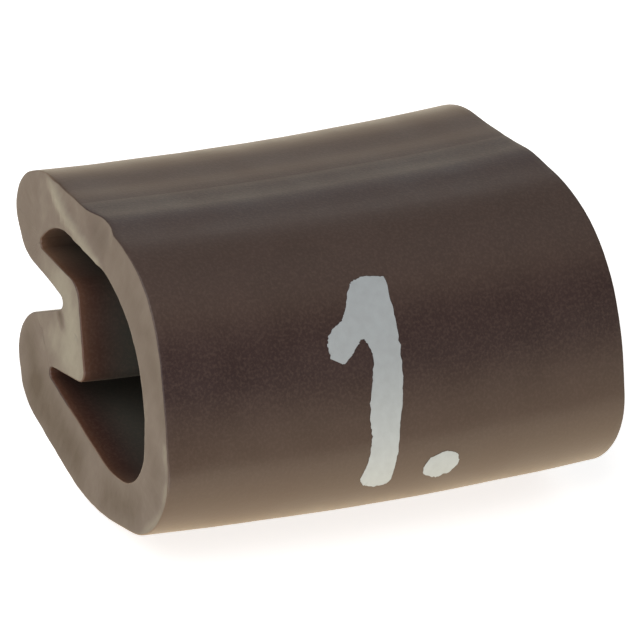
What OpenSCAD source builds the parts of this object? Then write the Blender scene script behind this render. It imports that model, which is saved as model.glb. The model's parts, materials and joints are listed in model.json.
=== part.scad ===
// Slide-on cable marker: a short length of soft extruded profile with its back wall folded inwards.
// X runs along the cable, the printed face looks forwards and up (-Y and +Z), and the flat base lies at Z = 0.
// The section is drawn in the YZ plane and swept along a gentle curl towards the back.

/* [Length and curl] */
// Length along the cable, measured on the curl's middle line
length = 6.3; // [3:0.1:20]
// Radius of the curl that the profile keeps from its reel
curl_radius = 45; // [30:1:500]

/* [Base] */
// Distance from the middle to the front corner of the flat base
base_front = 1.05; // [0.5:0.01:2]
// Rounding of the base's front corner
base_front_round = 2.8; // [0.1:0.05:4]
// Distance from the middle to the back corner of the flat base
base_back = 0.95; // [0.5:0.01:2]
// Rounding of the base's back corner
base_back_round = 0.74; // [0.1:0.02:2]

/* [Front] */
// Distance of the nose's corner in front of the middle
nose_out = 2.96; // [2.2:0.01:5]
// Height of the nose's corner
nose_height = 1.01; // [0.4:0.01:2]
// Rounding of the nose
nose_round = 0.86; // [0.1:0.02:2]
// Distance of the crown's corner in front of the middle
crown_out = 0.83; // [0:0.01:2]
// Height of the crown's corner
crown_height = 3.5; // [2.8:0.01:6]
// Rounding of the printed face from nose to crown
crown_round = 1.85; // [0.2:0.05:4]

/* [Brow and groove behind the crown] */
// Distance of the brow's corner behind the middle
brow_back = 0.72; // [0.3:0.01:1]
// Distance of the brow's corner below the crown's corner
brow_drop = 0.32; // [0.1:0.01:0.6]
// Rounding of the brow
brow_round = 1.6; // [0.1:0.05:3]
// Distance of the groove's bottom behind the brow's corner
groove_back = 0.46; // [0.2:0.01:0.6]
// Distance of the groove's bottom below the brow's corner
groove_drop = 0.19; // [0.1:0.01:0.3]
// Rounding at the bottom of the groove
groove_round = 0.12; // [0.02:0.01:0.5]

/* [Upper lobe] */
// Distance of the upper lobe's top corner behind the middle
bulb_top_back = 2.09; // [1.5:0.01:4]
// Height of the upper lobe's top corner
bulb_top_height = 2.76; // [2.3:0.01:5]
// Rounding of the upper lobe's top corner
bulb_top_round = 1.06; // [0.1:0.02:2]
// Distance of the upper lobe's hindmost corner behind the middle
bulb_tip_back = 2.76; // [2.2:0.01:5]
// Height of the upper lobe's hindmost corner
bulb_tip_height = 2.04; // [1.8:0.01:4]
// Rounding of the upper lobe's hindmost corner
bulb_tip_round = 0.48; // [0.1:0.01:1]
// Distance of the upper lobe's lowest corner behind the middle
bulb_under_back = 1.92; // [1.2:0.01:3]
// Height of the upper lobe's lowest corner
bulb_under_height = 1.55; // [1.3:0.01:3]
// Rounding of the upper lobe's lowest corner
bulb_under_round = 0.66; // [0.1:0.01:1.5]

/* [Notch and lower lobe] */
// Distance of the notch's bottom behind the middle
notch_back = 0.64; // [0.4:0.01:1.5]
// Height of the notch's bottom
notch_height = 1.77; // [1.6:0.01:3]
// Rounding at the bottom of the notch
notch_round = 0.1; // [0.02:0.01:0.4]
// Distance of the lower lobe's corner behind the middle
lobe_back = 1.73; // [1.2:0.01:3]
// Height of the lower lobe's corner
lobe_height = 0.69; // [0.4:0.01:1.5]
// Rounding of the lower lobe's corner
lobe_round = 0.54; // [0.1:0.01:1]

/* [Cavity for the cable] */
// Wall under the cavity's front, above the base
base_wall = 0.75; // [0.3:0.01:1.2]
// Distance of the cavity's floor corner ahead of the base's front corner
floor_lead = 0.11; // [-0.4:0.01:0.6]
// Rounding of the cavity's floor corner
floor_round = 1.15; // [0.1:0.05:3]
// Distance from the nose's corner back to the cavity's front corner
nose_wall = 1.02; // [0.4:0.01:1.6]
// Height of the cavity's front corner above the nose's corner
nose_lift = 0.05; // [-0.4:0.01:0.6]
// Rounding of the cavity's front corner
cavity_nose_round = 0.48; // [0.1:0.02:1]
// Distance of the cavity's roof corner ahead of the crown's corner
roof_lead = 0.09; // [-0.4:0.01:0.6]
// Distance from the crown's corner down to the cavity's roof corner
crown_wall = 0.4; // [0.2:0.01:1.2]
// Rounding of the cavity's roof
roof_round = 2; // [0.2:0.05:3]
// Distance from the upper lobe's top corner forwards to the cavity's upper back corner
bulb_wall = 0.54; // [0.2:0.01:1.2]
// Distance from the upper lobe's top corner down to the cavity's upper back corner
bulb_roof = 0.38; // [0.2:0.01:1]
// Rounding of the cavity's upper back corner
upper_back_round = 0.7; // [0.05:0.02:1.5]

/* [Fold inside the cavity] */
// Distance from the upper lobe's hindmost corner forwards to the tip of the upper pocket
upper_pocket_wall = 1.03; // [0.4:0.01:1.5]
// Wall between the upper pocket and the upper lobe's underside
upper_pocket_floor = 0.3; // [0.15:0.01:0.6]
// Rounding at the tips of both pockets
pocket_round = 0.08; // [0.02:0.01:0.2]
// Wall between the bottom of the notch and the fold's shoulder
fold_wall = 0.36; // [0.2:0.01:0.6]
// Distance of the fold's shoulder behind the bottom of the notch
shoulder_back = 0.03; // [-0.3:0.01:0.3]
// Rounding of the fold's shoulder
shoulder_round = 0.36; // [0.05:0.01:1]
// Distance of the fold's tip ahead of the bottom of the notch
tip_lead = 0.79; // [0.4:0.01:1.2]
// Distance of the fold's tip below the bottom of the notch
tip_drop = 0.55; // [0.3:0.01:0.8]
// Rounding of the fold's tip
tip_round = 0.14; // [0.02:0.01:0.4]
// Distance from the lower lobe's corner forwards to the tip of the lower pocket
lower_pocket_wall = 0.81; // [0.4:0.01:1.3]
// Drop of the lower pocket below the cavity's floor corner
lower_pocket_drop = 0.07; // [0:0.01:0.2]

/* [Hidden] */

marker_brown = [0.27, 0.19, 0.165];
arc_step = 5;

curl_angle = length / curl_radius * 180 / PI;

brow_height = crown_height - brow_drop;

// Corners of the outside, anticlockwise from the base's front, each with its rounding
outside = [
    [-base_front, 0, base_front_round],
    [base_back, 0, base_back_round],
    [lobe_back, lobe_height, lobe_round],
    [notch_back, notch_height, notch_round],
    [bulb_under_back, bulb_under_height, bulb_under_round],
    [bulb_tip_back, bulb_tip_height, bulb_tip_round],
    [bulb_top_back, bulb_top_height, bulb_top_round],
    [brow_back + groove_back, brow_height - groove_drop, groove_round],
    [brow_back, brow_height, brow_round],
    [-crown_out, crown_height, crown_round],
    [-nose_out, nose_height, nose_round],
];

// Corners of the cavity, each set off from the outside corner that it follows
cavity = [
    [-base_front - floor_lead, base_wall, floor_round],
    [lobe_back - lower_pocket_wall, base_wall - lower_pocket_drop, pocket_round],
    [notch_back - tip_lead, notch_height - tip_drop, tip_round],
    [notch_back + shoulder_back, notch_height + fold_wall, shoulder_round],
    [bulb_tip_back - upper_pocket_wall, bulb_under_height + upper_pocket_floor, pocket_round],
    [bulb_top_back - bulb_wall, bulb_top_height - bulb_roof, upper_back_round],
    [-crown_out - roof_lead, crown_height - crown_wall, roof_round],
    [-nose_out + nose_wall, nose_height + nose_lift, cavity_nose_round],
];

// Rounded outline: each corner becomes an arc that touches both of its sides
function at(c, i) = c[(i + len(c)) % len(c)];
function place(c, i) = [at(c, i).x, at(c, i).y];
function side(c, i) = place(c, i + 1) - place(c, i);
function heading(c, i) = side(c, i) / norm(side(c, i));
function turn(c, i) = atan2(cross(heading(c, i - 1), heading(c, i)), heading(c, i - 1) * heading(c, i));
function reach(c, i) = at(c, i).z * tan(abs(turn(c, i)) / 2);
// Share of the wanted roundings that a side has room for
function room(c, i) = min(1, norm(side(c, i)) / (reach(c, i) + reach(c, i + 1)));
function share(c, i) = min(room(c, i - 1), room(c, i));
function arc_point(start, dir, r, a) = start + dir * r * sin(a) + [-dir.y, dir.x] * r * (1 - cos(a));
function corner_arc(c, i) =
    let (
        a = turn(c, i),
        r = at(c, i).z * share(c, i) * sign(a),
        start = place(c, i) - heading(c, i - 1) * reach(c, i) * share(c, i),
        steps = max(1, ceil(abs(a) / arc_step))
    )
    [for (k = [0 : steps]) arc_point(start, heading(c, i - 1), r, a * k / steps)];
function rounded(c) = [for (i = [0 : len(c) - 1]) each corner_arc(c, i)];

// Section seen from the curl's axis: distance from the axis and height
module section() {
    translate([curl_radius, 0])
        mirror([1, 0])
            difference() {
                polygon(rounded(outside));
                polygon(rounded(cavity));
            }
}

// Section swept about the curl's upright axis, with both cuts square to the curl
module marker_sleeve() {
    color(marker_brown)
        translate([0, curl_radius, 0])
            rotate([0, 0, -90 - curl_angle / 2])
                rotate_extrude(angle = curl_angle, $fn = 720)
                    section();
}

marker_sleeve();
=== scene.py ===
import json
import math

import bpy
from mathutils import Matrix, Vector

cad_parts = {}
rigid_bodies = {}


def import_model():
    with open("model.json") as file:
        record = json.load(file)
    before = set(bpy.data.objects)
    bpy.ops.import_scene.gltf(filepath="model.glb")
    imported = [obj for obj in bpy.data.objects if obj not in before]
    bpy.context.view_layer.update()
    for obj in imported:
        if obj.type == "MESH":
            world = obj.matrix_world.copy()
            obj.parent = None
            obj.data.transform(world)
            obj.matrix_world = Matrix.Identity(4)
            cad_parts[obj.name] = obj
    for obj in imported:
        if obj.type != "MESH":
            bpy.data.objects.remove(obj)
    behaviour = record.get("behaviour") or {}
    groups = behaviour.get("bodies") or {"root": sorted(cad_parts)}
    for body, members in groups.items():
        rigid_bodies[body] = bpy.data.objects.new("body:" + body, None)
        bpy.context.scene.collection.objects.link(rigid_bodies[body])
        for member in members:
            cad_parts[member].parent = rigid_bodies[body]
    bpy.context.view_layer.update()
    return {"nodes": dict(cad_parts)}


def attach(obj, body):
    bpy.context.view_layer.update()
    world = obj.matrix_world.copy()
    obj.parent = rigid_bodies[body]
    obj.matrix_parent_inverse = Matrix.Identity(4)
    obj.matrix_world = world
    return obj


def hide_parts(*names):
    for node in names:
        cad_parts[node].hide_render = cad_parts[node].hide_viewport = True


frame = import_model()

# Sleeve: a short length chopped from a reel of soft brown PVC profile, extruded in one go and closed all
# round, with its back wall folded inwards. It is one piece, so its section is taken off the solid's near
# cut and swept along the curl again, fine enough for soft edges and for the unevenness of the real skin.
mm = 0.001
sleeve_node = frame["nodes"]["marker_sleeve"]
weld = 0.0005 * mm
curl_steps = 56
section_step = 0.1 * mm
cut_edge_round = 0.02 * mm
cut_rim = 0.04 * mm
cut_divisions = 5
near_facing = -0.95
crisp_from = math.radians(50)

sleeve = bpy.data.objects.new("sleeve", sleeve_node.data.copy())
sleeve.data.materials.clear()
bpy.context.scene.collection.objects.link(sleeve)
bpy.ops.object.select_all(action="DESELECT")
sleeve.select_set(True)
bpy.context.view_layer.objects.active = sleeve


def pick(elements, wanted):
    """Selects the faces, edges or points that wanted() accepts, and opens edit mode on them."""
    for element in elements:
        element.select = wanted(element)
    bpy.ops.object.mode_set(mode="EDIT")


def drop(kind):
    """Clears the selection, makes faces, edges or points what is picked next, and leaves edit mode."""
    bpy.ops.mesh.select_mode(type=kind)
    bpy.ops.mesh.select_all(action="DESELECT")
    bpy.ops.object.mode_set(mode="OBJECT")


# Only the two outlines of the near cut stay
bpy.ops.object.mode_set(mode="EDIT")
bpy.ops.mesh.select_all(action="SELECT")
bpy.ops.mesh.remove_doubles(threshold=weld)
drop("FACE")
near_faces = [face for face in sleeve.data.polygons if face.normal.x < near_facing]
near_normal = sum((face.normal * face.area for face in near_faces), Vector()).normalized()
near_corner = min((point.co.copy() for point in sleeve.data.vertices), key=lambda p: p.x)
pick(sleeve.data.polygons, lambda face: face.normal.x > near_facing)
bpy.ops.mesh.delete(type="FACE")
bpy.ops.mesh.select_all(action="SELECT")
bpy.ops.mesh.region_to_loop()
bpy.ops.mesh.select_all(action="INVERT")
bpy.ops.mesh.delete(type="EDGE_FACE")

# Their long edges are divided evenly, each by its own length
drop("EDGE")


def spans(edge):
    """How many steps an edge of the section is divided into."""
    a, b = (sleeve.data.vertices[i].co for i in edge.vertices)
    return math.ceil((a - b).length / section_step)


for count in range(max(map(spans, sleeve.data.edges)), 1, -1):
    pick(sleeve.data.edges, lambda edge: spans(edge) == count)
    bpy.ops.mesh.subdivide(number_cuts=count - 1)
    drop("EDGE")

# The curl's upright axis stands where the plane of the near cut meets the plane X = 0
half_curl = math.asin(near_normal.y)
curl_centre = Vector((0, near_corner.y + near_normal.x * near_corner.x / near_normal.y, 0))
backwards = Vector((near_normal.y, -near_normal.x, 0))
upwards = Vector((0, 0, 1))


def in_section(place):
    """How far a place lies behind the middle of the section and above its base, in millimetres."""
    radius = math.hypot(place.x - curl_centre.x, place.y - curl_centre.y)
    return Vector(((curl_centre.y - radius) / mm, place.z / mm))


def nudge(wanted, move, reach):
    """Moves the points that wanted() accepts, and draws what hangs together with them along softly."""
    bpy.ops.object.mode_set(mode="EDIT")
    drop("VERT")
    pick(sleeve.data.vertices, wanted)
    bpy.ops.transform.translate(
        value=move, use_proportional_edit=True, use_proportional_connected=True,
        proportional_edit_falloff="SMOOTH", proportional_size=reach)
    drop("VERT")


def close_to(point, spot, radius):
    """Whether a point lies within a radius of a spot in the section, both in millimetres."""
    return (in_section(point.co) - Vector(spot)).length < radius


# The printed face is a little fuller than the solid, and the brow and the groove behind it stand higher
face_middle = (-1.82, 2.38)
fuller = (upwards * 0.019 - backwards * 0.023) * mm
face_reach = 0.9 * mm
brow = (0.66, 3.19)
brow_lift = upwards * 0.012 * mm
groove = (1.18, 2.99)
groove_lift = upwards * 0.02 * mm
top_reach = 0.4 * mm
nudge(lambda p: close_to(p, face_middle, radius=0.12), fuller, face_reach)
nudge(lambda p: close_to(p, brow, radius=0.06), brow_lift, top_reach)
nudge(lambda p: close_to(p, groove, radius=0.06), groove_lift, top_reach)

# The points of the outer outline are noted, so that the skin outside can be told from the cavity's
outer = sleeve.vertex_groups.new(name="outer")
lowest = min(sleeve.data.vertices, key=lambda p: p.co.z).index
pick(sleeve.data.vertices, lambda p: p.index == lowest)
bpy.ops.mesh.select_linked()
bpy.ops.object.vertex_group_assign()
bpy.ops.mesh.select_all(action="SELECT")
bpy.ops.mesh.spin(steps=curl_steps, angle=2 * half_curl, center=curl_centre, axis=(0, 0, -1))

# Both cuts are closed again, their edges rounded a little and their faces divided inside a narrow rim
far_normal = Vector((-near_normal.x, near_normal.y, near_normal.z))


def on_cut(point, cut_normal):
    """Whether a point lies in the plane of a cut, which holds the axis of the curl."""
    return abs((point.co - curl_centre).dot(cut_normal)) < 2 * weld


def in_cut(element, cut_normal):
    """Whether all corners of a face or an edge lie in the plane of a cut."""
    return all(on_cut(sleeve.data.vertices[i], cut_normal) for i in element.vertices)


for cut_normal in (near_normal, far_normal):
    drop("EDGE")
    pick(sleeve.data.edges, lambda edge: in_cut(edge, cut_normal))
    bpy.ops.mesh.fill(use_beauty=True)
bpy.ops.mesh.select_all(action="SELECT")
bpy.ops.mesh.normals_make_consistent(inside=False)
drop("FACE")
for cut_normal in (near_normal, far_normal):
    pick(sleeve.data.polygons, lambda face: in_cut(face, cut_normal))
    bpy.ops.mesh.region_to_loop()
    bpy.ops.mesh.bevel(offset=cut_edge_round, segments=3, profile=0.5)
    drop("FACE")
    pick(sleeve.data.polygons, lambda face: in_cut(face, cut_normal))
    bpy.ops.mesh.inset(thickness=cut_rim)
    bpy.ops.mesh.subdivide(number_cuts=cut_divisions)
    drop("FACE")
bpy.ops.object.shade_smooth_by_angle(angle=crisp_from)

# Marks on the near cut, each as a line in the section with its width, in millimetres, and how much paler it
# is than
# the rest of the cut: the ridge where the blade turned, the fold and the burr are paler, the others darker
marks = [
    ("ridge", [(1.83, 2.74), (1.54, 2.66), (1.28, 2.64), (0.92, 2.65), (0.44, 2.72)], 0.08, 0.55),
    ("fold", [(1.05, 1.85), (0.60, 1.70), (0.33, 1.45), (0.10, 1.24)], 0.28, 0.53),
    ("fold_foot", [(0.70, 1.15), (0.45, 1.10)], 0.22, 0.3),
    ("crease", [(0.84, 1.52), (0.70, 1.46)], 0.055, -1.1),
    ("bulb", [(2.15, 2.10), (1.95, 1.85)], 0.25, -0.12),
    ("under_groove", [(0.85, 2.93), (0.45, 2.95)], 0.13, -0.3),
    ("crown", [(0.10, 3.10), (-0.80, 2.80), (-1.35, 2.45)], 0.3, -0.3),
    ("front_foot", [(-2.05, 1.60), (-2.15, 1.30)], 0.25, -0.28),
    ("front_wall", [(-1.05, 2.88), (-1.60, 2.50), (-1.90, 2.20)], 0.15, -0.25),
    ("nose_foot", [(-1.30, 0.45), (-1.85, 0.75)], 0.22, -0.7),
    ("lobe_wall", [(1.20, 0.70), (0.85, 0.42)], 0.16, -0.65),
    ("base", [(0.70, 0.28), (-0.40, 0.31)], 0.3, -0.85),
    ("burr", [(-2.10, 1.96), (-2.40, 1.50), (-2.42, 1.15), (-2.16, 0.52), (-1.95, 0.38)], 0.06, 0.3),
]


def line_distance(place, line):
    """How far a place in the section lies from a line of points."""
    nearest = math.inf
    for a, b in zip(line, line[1:]):
        a, b = Vector(a), Vector(b)
        along = (place - a).dot(b - a) / (b - a).length_squared
        nearest = min(nearest, (place - a.lerp(b, min(1, max(0, along)))).length)
    return nearest


def mark_strength(place, traces):
    """How strongly a list of such marks shows at a place in the section."""
    return sum(strength * math.exp(-(line_distance(place, line) / width) ** 2)
               for name, line, width, strength in traces)


def depth(place, cut_normal):
    """How far inside a cut a place lies, in millimetres."""
    return (curl_centre - place).dot(cut_normal) / mm


# Painted light on the skin: pale patches that stand for sheen and highlights on the top, for light from
# below at the foot, and for lightened shade in the groove and the cavity, noted in the same way
painted_light_marks = [
    ("crown", [(-0.90, 3.12), (0.10, 3.30)], 0.4, 0.10),
    ("groove", [(1.20, 2.97), (1.38, 2.95)], 0.1, 0.13),
    ("bulb_top", [(1.50, 2.92), (1.85, 2.83)], 0.2, 0.19),
    ("bulb_rim", [(1.95, 2.78), (2.35, 2.50)], 0.15, 0.27),
    ("foot_edge", [(-1.90, 0.45), (-2.20, 0.65)], 0.35, 0.45),
    ("upper_pocket", [(1.68, 1.97), (1.40, 1.92)], 0.25, 0.185),
    ("fold", [(0.95, 2.02), (0.55, 2.02), (0.27, 1.65), (-0.10, 1.25)], 0.25, 0.046),
]

# Height up to which the foot of the front is painted lighter, for light from below, and how strongly. Then,
# in the cavity, how deep the painted red light reaches behind the near cut, and between which depths its
# shade is painted lighter. Lengths in millimetres.
painted_light_top = 2.5
painted_foot_light = 0.77
glow_depth = 0.13
shade_lift_from = 0.25
shade_lift_to = 0.65
notes = ["cut_share", "paleness", "painted_light_share", "rim", "shade_lift"]
for note in notes:
    sleeve.data.attributes.new(note, "FLOAT", "POINT")
cut_share, paleness, painted_light_share, rim, shade_lift = (sleeve.data.attributes[note].data for note in notes)
for point in sleeve.data.vertices:
    spot = in_section(point.co)
    if on_cut(point, near_normal):
        paleness[point.index].value = mark_strength(spot, marks)
    cut_share[point.index].value = float(on_cut(point, near_normal) or on_cut(point, far_normal))
    outside = any(member.group == outer.index for member in point.groups)
    foot = painted_foot_light * max(0, 1 - spot.y / painted_light_top) if outside and spot.x < 0 else 0
    painted_light_share[point.index].value = foot + mark_strength(spot, painted_light_marks)
    if not outside:
        rim[point.index].value = math.exp(-depth(point.co, near_normal) / glow_depth)
        inside = min(depth(point.co, near_normal), depth(point.co, far_normal))
        shade_lift[point.index].value = min(1, max(0, (inside - shade_lift_from) / (shade_lift_to - shade_lift_from)))

# How far the faults of the near cut reach behind it, in millimetres
near_zone = 0.1


def near_end(point):
    """Whether a point lies on the near cut or close behind it."""
    return depth(point.co, near_normal) < near_zone


# Neither cut is clean. The lower front corner of the far one is drawn back. On the near one the brow's
# corner is torn back, the front is as slim as the solid's, and a ridge stands where the blade turned.
far_corner = (-2.1, 0.45)
far_lean = Vector((-0.14, 0, 0)) * mm
far_reach = 1.7 * mm
torn_back = -near_normal * 0.07 * mm
torn_reach = 0.3 * mm
crown_front = (-1.2, 2.93)
slimmer = (backwards * 0.012 - upwards * 0.018) * mm
crown_reach = 0.6 * mm
ridge = marks[0][1]
ridge_half_width = 0.05
ridge_height = near_normal * 0.03 * mm
ridge_reach = 0.12 * mm
nudge(lambda p: on_cut(p, far_normal) and close_to(p, far_corner, radius=0.35), far_lean, far_reach)
nudge(lambda p: on_cut(p, near_normal) and close_to(p, brow, radius=0.1), torn_back, torn_reach)
nudge(lambda p: near_end(p) and close_to(p, face_middle, radius=0.15), -fuller, face_reach)
nudge(lambda p: near_end(p) and close_to(p, crown_front, radius=0.15), slimmer, crown_reach)
nudge(lambda p: on_cut(p, near_normal) and line_distance(in_section(p.co), ridge) < ridge_half_width,
      ridge_height, ridge_reach)


def ripple(name, share, size, height, direction):
    """Makes the surface uneven by a random swell of this size; share() says how much of it a point gets."""
    group = sleeve.vertex_groups.new(name=name)
    for point in sleeve.data.vertices:
        group.add([point.index], min(1, max(0, share(point.co))), "REPLACE")
    swell = bpy.data.textures.new(name, "CLOUDS")
    swell.noise_scale = size
    wave = sleeve.modifiers.new(name, "DISPLACE")
    wave.texture = swell
    wave.texture_coords = "LOCAL"
    wave.strength = height
    wave.direction = direction
    wave.vertex_group = name
    bpy.ops.object.modifier_apply(modifier=name)


# The skin isn't quite even, except where it lies on the table, and the near cut's edges are ragged
even_below = 0.3 * mm
ripple("uneven", lambda place: place.z / even_below,
       size=1.4 * mm, height=0.02 * mm, direction="NORMAL")
ripple("ragged", lambda place: 1 - depth(place, near_normal) / near_zone,
       size=0.22 * mm, height=0.018 * mm, direction="X")
bpy.ops.object.vertex_group_remove(all=True)


def plastic(name):
    """A new material: its node tree, its shader and the place on the piece in millimetres."""
    material = bpy.data.materials.new(name)
    material.use_nodes = True
    tree = material.node_tree
    coordinates = tree.nodes.new("ShaderNodeTexCoord")
    in_mm = tree.nodes.new("ShaderNodeVectorMath")
    in_mm.operation = "SCALE"
    in_mm.inputs["Scale"].default_value = 1 / mm
    tree.links.new(coordinates.outputs["Object"], in_mm.inputs[0])
    return material, tree, tree.nodes["Principled BSDF"], in_mm.outputs["Vector"]


def noise(tree, place, size, stretch=(1, 1, 1), detail=3):
    """Random cloud with spots of about this size in millimetres, drawn out along an axis by stretch."""
    mapping = tree.nodes.new("ShaderNodeMapping")
    mapping.inputs["Scale"].default_value = [1 / (size * s) for s in stretch]
    cloud = tree.nodes.new("ShaderNodeTexNoise")
    cloud.inputs["Scale"].default_value = 1
    cloud.inputs["Detail"].default_value = detail
    tree.links.new(place, mapping.inputs["Vector"])
    tree.links.new(mapping.outputs["Vector"], cloud.inputs["Vector"])
    return cloud.outputs["Fac"]


def between(tree, factor, low, high):
    """A number that runs from low to high where the cloud goes from its usual darks to its lights."""
    usual_dark = 0.3
    usual_light = 0.7
    span = tree.nodes.new("ShaderNodeMapRange")
    span.inputs["From Min"].default_value = usual_dark
    span.inputs["From Max"].default_value = usual_light
    span.inputs["To Min"].default_value = low
    span.inputs["To Max"].default_value = high
    tree.links.new(factor, span.inputs["Value"])
    return span.outputs["Result"]


def blend_colours(tree, factor, first, second):
    """Mixes two colours, each a plain colour or another node's output."""
    mix = tree.nodes.new("ShaderNodeMix")
    mix.data_type = "RGBA"
    tree.links.new(factor, mix.inputs["Factor"])
    for socket, colour in ((mix.inputs[6], first), (mix.inputs[7], second)):
        if isinstance(colour, tuple):
            socket.default_value = (*colour, 1)
        else:
            tree.links.new(colour, socket)
    return mix.outputs[2]


def bump(tree, shader, layers):
    """Fine relief: each layer is a cloud and its height in millimetres."""
    normal = None
    for cloud, height in layers:
        relief = tree.nodes.new("ShaderNodeBump")
        relief.inputs["Distance"].default_value = height * mm
        tree.links.new(cloud, relief.inputs["Height"])
        if normal:
            tree.links.new(normal, relief.inputs["Normal"])
        normal = relief.outputs["Normal"]
    tree.links.new(normal, shader.inputs["Normal"])


def painted(tree, name):
    """The value of a point attribute of the mesh."""
    attribute = tree.nodes.new("ShaderNodeAttribute")
    attribute.attribute_name = name
    return attribute.outputs["Fac"]


def added(tree, first, second):
    """The sum of two numbers."""
    both = tree.nodes.new("ShaderNodeMath")
    both.operation = "ADD"
    tree.links.new(first, both.inputs[0])
    tree.links.new(second, both.inputs[1])
    return both.outputs[0]


# The skin is satin from the die, with faint draw lines along the cable, a soft mottle and a fine grain.
# Light is
# painted into it: pale patches for sheen, highlights and light from below, a grey that lightens the shade
# deep in the cavity, and a red for light falling just inside the near cut. The cuts are paler and dull,
# where the blade dragged through the soft plastic.
dark_brown = (0.0218, 0.0085, 0.0078)
light_brown = (0.0278, 0.0117, 0.0106)
# Painted light: a red for light just inside the near cut, a beige for sheen, highlights and light from
# below, and a grey for lightened shade deep in the cavity
painted_light_red = (0.075, 0.028, 0.013)
painted_light_beige = (0.247, 0.166, 0.101)
lifted_shade_grey = (0.047, 0.045, 0.037)
grain_beige = (0.130, 0.084, 0.064)
cut_dark = (0.056, 0.035, 0.020, 1)
cut_middle = (0.138, 0.106, 0.085, 1)
cut_pale = (0.34, 0.315, 0.24, 1)
dust_sheen = (1, 0.88, 0.7, 1)
drag_contrast = 0.06
blotch_contrast = 0.12
smooth_satin = 0.37
rough_satin = 0.45
cut_roughness = 0.65
brown_pvc, tree, shader, place = plastic("brown_pvc")
mottle = noise(tree, place, size=0.7)
draw_lines = noise(tree, place, size=0.12, stretch=(30, 1, 1))
grain = noise(tree, place, size=0.035, detail=2)
skin = blend_colours(tree, between(tree, mottle, 0, 1), dark_brown, light_brown)
drag = noise(tree, place, size=0.1, stretch=(1, 1, 4))
blotches = noise(tree, place, size=0.3)
smear = added(tree, between(tree, drag, -drag_contrast, drag_contrast),
              between(tree, blotches, -blotch_contrast, blotch_contrast))
ramp = tree.nodes.new("ShaderNodeMapRange")
ramp.inputs["From Min"].default_value = -1
ramp.inputs["From Max"].default_value = 1
tree.links.new(added(tree, painted(tree, "paleness"), smear), ramp.inputs["Value"])
tones = tree.nodes.new("ShaderNodeValToRGB")
tones.color_ramp.elements[0].color = cut_dark
tones.color_ramp.elements[1].color = cut_pale
tones.color_ramp.elements.new(0.5).color = cut_middle
tree.links.new(ramp.outputs[0], tones.inputs["Fac"])
# Painted light mixed into the skin: red just inside the near cut, pale patches, and lighter shade deep in
# the cavity
warm = blend_colours(tree, painted(tree, "rim"), skin, painted_light_red)
skin_with_painted_light = blend_colours(tree, painted(tree, "painted_light_share"), warm, painted_light_beige)
shade_lifted = blend_colours(tree, painted(tree, "shade_lift"), skin_with_painted_light, lifted_shade_grey)
speckled = blend_colours(tree, between(tree, grain, -0.1, 0.2), shade_lifted, grain_beige)
colour = blend_colours(tree, painted(tree, "cut_share"), speckled, tones.outputs["Color"])
tree.links.new(colour, shader.inputs["Base Color"])
dullness = tree.nodes.new("ShaderNodeMapRange")
tree.links.new(painted(tree, "cut_share"), dullness.inputs["Value"])
tree.links.new(between(tree, mottle, smooth_satin, rough_satin), dullness.inputs["To Min"])
dullness.inputs["To Max"].default_value = cut_roughness
tree.links.new(dullness.outputs[0], shader.inputs["Roughness"])
shader.inputs["Sheen Weight"].default_value = 0.12
shader.inputs["Sheen Roughness"].default_value = 0.4
shader.inputs["Sheen Tint"].default_value = dust_sheen
bump(tree, shader, [(draw_lines, 0.0008), (grain, 0.0015)])
sleeve.data.materials.append(brown_pvc)
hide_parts("marker_sleeve")
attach(sleeve, "root")

# Print: the number 1 and its full stop, stamped in pale grey ink straight onto the skin of the front. The
# film is a thin shell lifted off the sleeve's own skin and trimmed to the ragged outline of the figure.
ink_height = 0.006 * mm
ink_depth = 0.010 * mm
print_tilt = math.radians(40)
print_middle = Vector((0, -1.9, 2.13)) * mm
print_side = 1.4 * mm
print_back = -0.3 * mm
print_foot = 0.6 * mm
front_facing = -0.2
stamp_depth = 0.7 * mm
ragged_edge = 0.014 * mm
film_crisp_from = math.radians(40)
figure = [
    (-0.45, 1.42, "soft"), (-0.37, 1.47, "soft"), (-0.21, 1.49, "soft"), (0.05, 1.46, "sharp"),
    (0.05, 0.75, "soft"), (0.05, 0.40, "soft"), (0.00, -0.04, "soft"), (-0.10, -0.57, "soft"),
    (-0.15, -0.99, "sharp"), (-0.21, -1.04, "soft"), (-0.47, -1.03, "soft"), (-0.57, -0.99, "soft"),
    (-0.60, -0.93, "sharp"), (-0.50, -0.61, "soft"), (-0.46, -0.42, "soft"), (-0.47, -0.22, "soft"),
    (-0.40, 0.20, "soft"), (-0.335, 0.50, "sharp"), (-0.40, 0.72, "soft"), (-0.465, 0.77, "soft"),
    (-0.55, 0.69, "soft"), (-0.69, 0.55, "soft"), (-0.78, 0.51, "sharp"), (-0.93, 0.60, "sharp"),
    (-0.95, 0.74, "soft"), (-0.92, 0.87, "soft"), (-0.70, 1.03, "soft"), (-0.63, 1.13, "soft"),
]
stop = [
    (0.30, -0.93, "soft"), (0.42, -1.04, "soft"), (0.62, -1.05, "soft"),
    (0.80, -0.92, "soft"), (0.74, -0.79, "soft"), (0.55, -0.76, "soft"),
]
handles = {"soft": "AUTO", "sharp": "VECTOR"}

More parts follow.
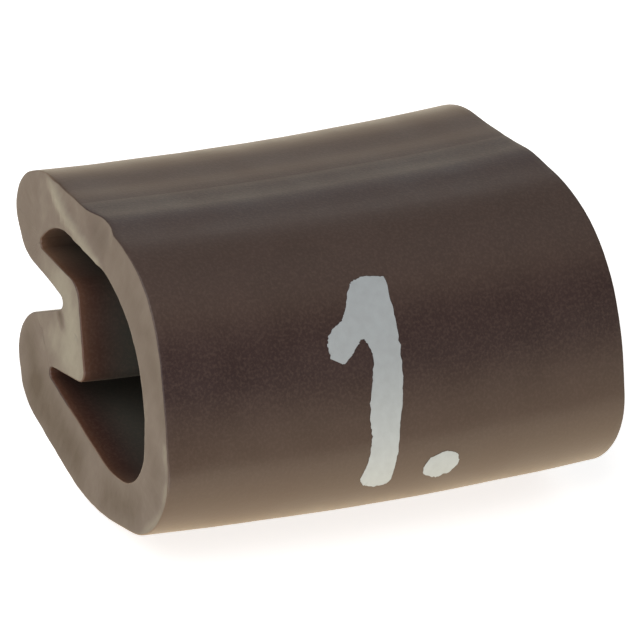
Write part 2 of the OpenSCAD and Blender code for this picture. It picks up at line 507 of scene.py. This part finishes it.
bpy.ops.object.select_all(action="DESELECT")
outline = bpy.data.curves.new("outline", "CURVE")
outline.dimensions = "2D"
outline.fill_mode = "BOTH"
outline.resolution_u = 6
outline.extrude = stamp_depth
for shape in (figure, stop):
    spline = outline.splines.new("BEZIER")
    spline.use_cyclic_u = True
    spline.bezier_points.add(len(shape) - 1)
    for knot, (across, along, bend) in zip(spline.bezier_points, shape):
        knot.co = Vector((across, along, 0)) * mm
        knot.handle_left_type = handles[bend]
        knot.handle_right_type = handles[bend]
stamp = bpy.data.objects.new("stamp", outline)
bpy.context.scene.collection.objects.link(stamp)
stamp.location = print_middle
stamp.rotation_euler = (math.radians(90) - print_tilt, 0, 0)
stamp.select_set(True)
bpy.context.view_layer.objects.active = stamp
bpy.ops.object.convert(target="MESH")
bpy.ops.object.transform_apply(location=True, rotation=True, scale=True)
bpy.ops.object.mode_set(mode="EDIT")
bpy.ops.mesh.select_all(action="SELECT")
bpy.ops.mesh.remove_doubles(threshold=weld)
bpy.ops.mesh.normals_make_consistent(inside=False)
bpy.ops.transform.vertex_random(offset=ragged_edge, uniform=1, normal=0, seed=4)
bpy.ops.object.mode_set(mode="OBJECT")

print_film = bpy.data.objects.new("print", sleeve.data.copy())
print_film.data.materials.clear()
bpy.context.scene.collection.objects.link(print_film)
bpy.ops.object.select_all(action="DESELECT")
print_film.select_set(True)
bpy.context.view_layer.objects.active = print_film
bpy.ops.object.mode_set(mode="EDIT")
drop("FACE")
pick(print_film.data.polygons, lambda face: not (
    abs(face.center.x) < print_side and face.center.y < print_back
    and face.center.z > print_foot and face.normal.y < front_facing))
bpy.ops.mesh.delete(type="FACE")
bpy.ops.object.mode_set(mode="OBJECT")
shell = print_film.modifiers.new("shell", "SOLIDIFY")
shell.thickness = ink_height + ink_depth
shell.offset = (ink_height - ink_depth) / (ink_height + ink_depth)
bpy.ops.object.modifier_apply(modifier="shell")
trim = print_film.modifiers.new("trim", "BOOLEAN")
trim.operation = "INTERSECT"
trim.solver = "MANIFOLD"
trim.object = stamp
bpy.ops.object.modifier_apply(modifier="trim")
bpy.data.objects.remove(stamp)
print_film.data.materials.clear()

# The ink is matt and chalky, with painted light on it: darker and cooler at the top, lighter at the foot
# where light comes from below, heights in millimetres
shaded_top_ink = (0.330, 0.354, 0.366)
lit_foot_ink = (0.62, 0.64, 0.60)
worn_through = (0.15, 0.13, 0.12)
shade_above = 2.8
light_below = 0.9
most_wear = 0.12
ink, tree, shader, place = plastic("grey_ink")
axes = tree.nodes.new("ShaderNodeSeparateXYZ")
tree.links.new(place, axes.inputs[0])
painted_light_ramp = tree.nodes.new("ShaderNodeMapRange")
painted_light_ramp.interpolation_type = "SMOOTHSTEP"
painted_light_ramp.inputs["From Min"].default_value = shade_above
painted_light_ramp.inputs["From Max"].default_value = light_below
tree.links.new(axes.outputs["Z"], painted_light_ramp.inputs["Value"])
grey = blend_colours(tree, painted_light_ramp.outputs[0], shaded_top_ink, lit_foot_ink)
patches = noise(tree, place, size=0.12, detail=4)
worn = blend_colours(tree, between(tree, patches, 0, most_wear), grey, worn_through)
tree.links.new(worn, shader.inputs["Base Color"])
shader.inputs["Roughness"].default_value = 0.7
bump(tree, shader, [(patches, 0.003)])
print_film.data.materials.append(ink)
for face in print_film.data.polygons:
    face.material_index = 0
bpy.ops.object.shade_smooth_by_angle(angle=film_crisp_from)
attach(print_film, "root")

# Table: a plain pale cream board that the sleeve lies on. The camera sees it as white, with the sleeve's
# soft shadow, and its own colour comes back as a warm light on the underside.
table_width = 400 * mm
board_cream = (0.88, 0.83, 0.74)
warm_glow = (1, 0.86, 0.62)
board_white = (0.9, 0.9, 0.9)
white_glow = (1, 1, 1)
bpy.ops.object.select_all(action="DESELECT")
bpy.ops.mesh.primitive_plane_add(size=table_width, location=(0, 0, 0))
table = bpy.context.object
table.name = "table"
cream = bpy.data.materials.new("cream_board")
cream.use_nodes = True
nodes = cream.node_tree.nodes
links = cream.node_tree.links


def glowing_board(board, colour, glow_colour, glow_level):
    """A matt board that also glows a little."""
    board.inputs["Base Color"].default_value = (*colour, 1)
    board.inputs["Roughness"].default_value = 0.9
    glow = nodes.new("ShaderNodeEmission")
    glow.inputs["Color"].default_value = (*glow_colour, 1)
    glow.inputs["Strength"].default_value = glow_level
    both = nodes.new("ShaderNodeAddShader")
    links.new(board.outputs[0], both.inputs[0])
    links.new(glow.outputs[0], both.inputs[1])
    return both


path = nodes.new("ShaderNodeLightPath")
plain = nodes["Principled BSDF"]
mirrored = glowing_board(plain, board_cream, warm_glow, glow_level=1.0)
pictured = glowing_board(nodes.new("ShaderNodeBsdfPrincipled"), board_white, white_glow, glow_level=0.65)
glossy = nodes.new("ShaderNodeMath")
glossy.operation = "MAXIMUM"
links.new(path.outputs["Is Glossy Ray"], glossy.inputs[0])
links.new(path.outputs["Is Transmission Ray"], glossy.inputs[1])
lit_or_mirrored = nodes.new("ShaderNodeMixShader")
links.new(glossy.outputs[0], lit_or_mirrored.inputs[0])
links.new(plain.outputs[0], lit_or_mirrored.inputs[1])
links.new(mirrored.outputs[0], lit_or_mirrored.inputs[2])
seen = nodes.new("ShaderNodeMixShader")
links.new(path.outputs["Is Camera Ray"], seen.inputs[0])
links.new(lit_or_mirrored.outputs[0], seen.inputs[1])
links.new(pictured.outputs[0], seen.inputs[2])
links.new(seen.outputs[0], nodes["Material Output"].inputs["Surface"])
table.data.materials.append(cream)

# Studio: a dim plain room with a white background. A large soft lamp hangs above the near end, and a second
# one lights the front and the near cut. Dimmer cards above, behind and low in front of the far end give the
# satin skin its sheen.
room_light = 0.22
background_white = 1.0
warm_card = (1, 0.87, 0.68)
lamp_aim = Vector((0, 0, 1.6)) * mm
world = bpy.data.worlds.new("studio")
bpy.context.scene.world = world
world.use_nodes = True
room = world.node_tree
ray = room.nodes.new("ShaderNodeLightPath")
level = room.nodes.new("ShaderNodeMapRange")
level.inputs["To Min"].default_value = room_light
level.inputs["To Max"].default_value = background_white
background = room.nodes["Background"]
background.inputs["Color"].default_value = (1, 1, 1, 1)
room.links.new(ray.outputs["Is Camera Ray"], level.inputs["Value"])
room.links.new(level.outputs[0], background.inputs["Strength"])


def softbox(name, place, width, height, glow):
    """A lamp behind a plain white screen, aimed at the sleeve; glow is how bright the screen looks."""
    light = bpy.data.lights.new(name, "AREA")
    light.shape = "RECTANGLE"
    light.size = width
    light.size_y = height
    light.energy = glow * math.pi * width * height
    lamp = bpy.data.objects.new(name, light)
    bpy.context.scene.collection.objects.link(lamp)
    lamp.location = place
    beam = lamp_aim - place
    lamp.rotation_euler = beam.to_track_quat("-Z", "Y").to_euler()
    return light


softbox("key", Vector((-47, 2, 62)) * mm, width=80 * mm, height=80 * mm, glow=2.5)
softbox("fill", Vector((-57, -91, 24)) * mm, width=120 * mm, height=44 * mm, glow=3.4)
softbox("top_card", Vector((49, 7, 81)) * mm, width=70 * mm, height=70 * mm, glow=0.25)
softbox("back_card", Vector((57, 94, 36)) * mm, width=50 * mm, height=28 * mm, glow=0.9)
front_card = softbox(
    "front_card", Vector((60, -100, 20)) * mm, width=110 * mm, height=40 * mm, glow=1.6)
front_card.color = warm_card

# Camera: in front of the near end and well above it, with a long lens, and tipped over to one side so that
# the sleeve rises to the right in the picture.
azimuth = math.radians(-131.536)
elevation = math.radians(38.843)
roll = math.radians(19.667)
distance = 244 * mm
view_width = 7.792 * mm
aim = Vector((0.0795, -0.0131, 1.6665)) * mm
level_out = Vector((math.cos(azimuth), math.sin(azimuth), 0))
towards = level_out * math.cos(elevation) + Vector((0, 0, math.sin(elevation)))
level_right = Vector((0, 0, 1)).cross(towards).normalized()
level_up = towards.cross(level_right)
right = level_right * math.cos(roll) + level_up * math.sin(roll)
up = level_up * math.cos(roll) - level_right * math.sin(roll)
lens = bpy.data.cameras.new("camera")
lens.sensor_width = 36
lens.lens = lens.sensor_width * distance / view_width
lens.clip_start = 10 * mm
lens.clip_end = 2000 * mm
camera = bpy.data.objects.new("camera", lens)
bpy.context.scene.collection.objects.link(camera)
turned = Matrix((right, up, towards)).transposed().to_4x4()
camera.matrix_world = Matrix.Translation(aim + towards * distance) @ turned
bpy.context.scene.camera = camera
bpy.context.scene.view_settings.view_transform = "Standard"
